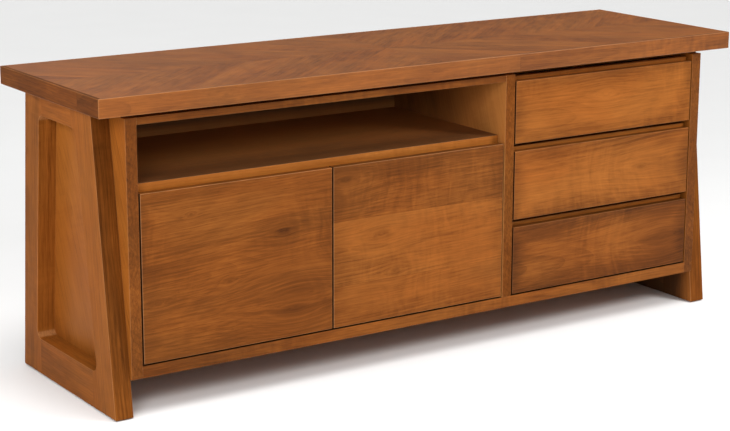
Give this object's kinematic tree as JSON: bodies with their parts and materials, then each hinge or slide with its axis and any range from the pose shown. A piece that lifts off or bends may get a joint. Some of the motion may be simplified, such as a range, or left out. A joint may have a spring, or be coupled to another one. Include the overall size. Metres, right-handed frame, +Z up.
{
  "type": "media console cabinet",
  "caption": "Low wooden media console on trapezoid end frames, with an open bay over push-latch doors beside a bank of drawers.",
  "frame": {"origin": "on the floor, under the middle of the top", "axes": "+X to the right along the length, -Y towards the front, +Z up"},
  "size_m": [1.83, 0.524, 0.737],
  "materials": {
    "top_veneer": "stained hardwood veneer laid in a four-way diagonal match, satin lacquer",
    "top_lipping": "solid stained hardwood, satin lacquer",
    "frame_wood": "solid stained hardwood, satin lacquer",
    "case_wood": "stained hardwood, satin lacquer",
    "door_wood": "stained hardwood, horizontal grain, satin lacquer",
    "drawer_face_wood": "stained hardwood, horizontal grain, satin lacquer",
    "drawer_box_wood": "clear-lacquered hardwood and plywood",
    "back_board": "stained veneered board, matt",
    "slide_steel": "zinc-plated",
    "nickel_steel": "nickel-plated",
    "bolt_steel": "bronzed",
    "latch_plastic": "fine texture",
    "glide_nylon": "smooth"
  },
  "bodies": {
    "case": {"adjustable_shelf": "case_wood", "bay_front_rail": "case_wood", "bottom_panel": "case_wood", "cupboard_back": "back_board", "divider_panel": "case_wood", "drawer_bay_back": "back_board", "drawer_bay_rail": "case_wood", "foot_glides": "glide_nylon", "frame_bolts": "bolt_steel", "hinge_arms": "nickel_steel", "latch_housings": "latch_plastic", "left_frame_foot_rail": "frame_wood", "left_frame_head_rail": "frame_wood", "left_front_leg": "frame_wood", "left_rear_leg": "frame_wood", "left_side_panel": "case_wood", "media_shelf": "case_wood", "rear_top_rail": "case_wood", "right_frame_foot_rail": "frame_wood", "right_frame_head_rail": "frame_wood", "right_front_leg": "frame_wood", "right_rear_leg": "frame_wood", "right_side_panel": "case_wood", "shelf_pins": "nickel_steel", "slide_outer_members": "slide_steel", "top_back_band": "top_lipping", "top_front_band": "top_lipping", "top_left_band": "top_lipping", "top_panel": "top_veneer", "top_right_band": "top_lipping"},
    "left_door": {"left_door_panel": "door_wood", "left_door_hinge_cups": "nickel_steel"},
    "left_latch_plunger": {"left_latch_plunger": "latch_plastic"},
    "right_door": {"right_door_panel": "door_wood", "right_door_hinge_cups": "nickel_steel"},
    "right_latch_plunger": {"right_latch_plunger": "latch_plastic"},
    "top_drawer": {"top_drawer_face": "drawer_face_wood", "top_drawer_inner_front": "drawer_face_wood", "top_drawer_left_side": "drawer_box_wood", "top_drawer_right_side": "drawer_box_wood", "top_drawer_back": "drawer_box_wood", "top_drawer_bottom": "drawer_box_wood", "top_drawer_slide_inner": "slide_steel"},
    "top_drawer_slide": {"top_drawer_slide_middle": "slide_steel"},
    "middle_drawer": {"middle_drawer_face": "drawer_face_wood", "middle_drawer_inner_front": "drawer_face_wood", "middle_drawer_left_side": "drawer_box_wood", "middle_drawer_right_side": "drawer_box_wood", "middle_drawer_back": "drawer_box_wood", "middle_drawer_bottom": "drawer_box_wood", "middle_drawer_slide_inner": "slide_steel"},
    "middle_drawer_slide": {"middle_drawer_slide_middle": "slide_steel"},
    "bottom_drawer": {"bottom_drawer_face": "drawer_face_wood", "bottom_drawer_inner_front": "drawer_face_wood", "bottom_drawer_left_side": "drawer_box_wood", "bottom_drawer_right_side": "drawer_box_wood", "bottom_drawer_back": "drawer_box_wood", "bottom_drawer_bottom": "drawer_box_wood", "bottom_drawer_slide_inner": "slide_steel"},
    "bottom_drawer_slide": {"bottom_drawer_slide_middle": "slide_steel"}
  },
  "joints": [
    {"name": "left_door_hinge", "type": "hinge", "parent": "case", "child": "left_door", "pos_m": [-0.809, -0.236, 0.31625], "axis": [0, 0, -1], "range_deg": [0, 92]},
    {"name": "right_door_hinge", "type": "hinge", "parent": "case", "child": "right_door", "pos_m": [0.193, -0.236, 0.31625], "axis": [0, 0, 1], "range_deg": [0, 92]},
    {"name": "left_latch_press", "type": "slide", "parent": "case", "child": "left_latch_plunger", "axis": [0, 1, 0], "range_m": [0, 0.003], "stiffness_N_per_m": 400},
    {"name": "right_latch_press", "type": "slide", "parent": "case", "child": "right_latch_plunger", "axis": [0, 1, 0], "range_m": [0, 0.003], "stiffness_N_per_m": 400},
    {"name": "top_drawer_travel", "type": "slide", "parent": "case", "child": "top_drawer", "axis": [0, -1, 0], "range_m": [0, 0.36]},
    {"name": "top_drawer_slide_travel", "type": "slide", "parent": "case", "child": "top_drawer_slide", "axis": [0, -1, 0], "range_m": [0, 0.18]},
    {"name": "middle_drawer_travel", "type": "slide", "parent": "case", "child": "middle_drawer", "axis": [0, -1, 0], "range_m": [0, 0.36]},
    {"name": "middle_drawer_slide_travel", "type": "slide", "parent": "case", "child": "middle_drawer_slide", "axis": [0, -1, 0], "range_m": [0, 0.18]},
    {"name": "bottom_drawer_travel", "type": "slide", "parent": "case", "child": "bottom_drawer", "axis": [0, -1, 0], "range_m": [0, 0.36]},
    {"name": "bottom_drawer_slide_travel", "type": "slide", "parent": "case", "child": "bottom_drawer_slide", "axis": [0, -1, 0], "range_m": [0, 0.18]}
  ],
  "couplings": [
    {"joint": "top_drawer_slide_travel", "follows": "top_drawer_travel", "ratio": 0.5},
    {"joint": "middle_drawer_slide_travel", "follows": "middle_drawer_travel", "ratio": 0.5},
    {"joint": "bottom_drawer_slide_travel", "follows": "bottom_drawer_travel", "ratio": 0.5}
  ]
}
